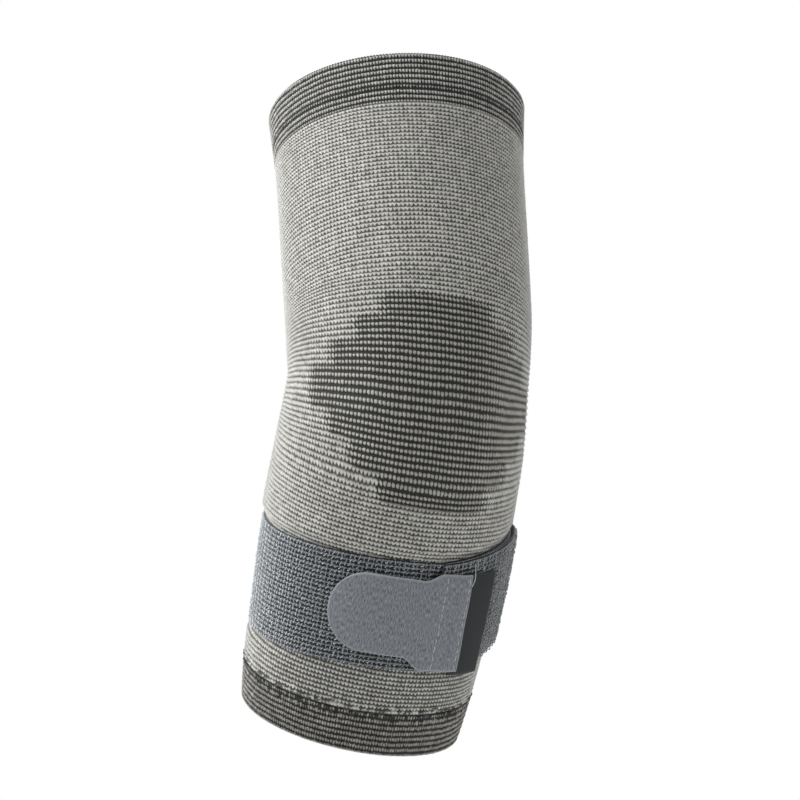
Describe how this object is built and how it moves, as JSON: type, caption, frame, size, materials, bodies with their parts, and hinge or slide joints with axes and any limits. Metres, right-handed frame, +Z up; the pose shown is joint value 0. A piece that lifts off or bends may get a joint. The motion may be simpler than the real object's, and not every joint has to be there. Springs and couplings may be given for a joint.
{
  "type": "knitted elbow sleeve",
  "caption": "Bent, open-ended knitted support sleeve for the elbow, with a dark stepped panel over the point of the elbow, striped welts and a lapped forearm strap closed by a hook tab.",
  "frame": {"origin": "middle of the elbow, on the middle line of the arm, where the sleeve sits on the wearer", "axes": "+Z up, from the forearm's opening towards the upper arm's; -Y is the side of the point of the elbow; the sleeve leans back towards +Y at both ends"},
  "size_m": [0.0932, 0.1245, 0.2464],
  "materials": {
    "body_knit": "light grey and dark grey yarn knitted in rows, matt",
    "panel_knit": "dark grey knit with rows of small light stitches, matt",
    "welt_knit": "double knit in narrow dark and light stripes, matt",
    "loop_strap": "blue-grey loop-faced elastic, slight sheen",
    "hook_tab": "smooth grey brushed tape with a cut edge",
    "woven_label": "black satin-woven ribbon, bare"
  },
  "bodies": {
    "root": {"sleeve_body": "body_knit", "elbow_panel": "panel_knit", "upper_welt": "welt_knit", "lower_welt": "welt_knit", "strap": "loop_strap", "closure_tab": "hook_tab", "label": "woven_label"}
  },
  "joints": []
}
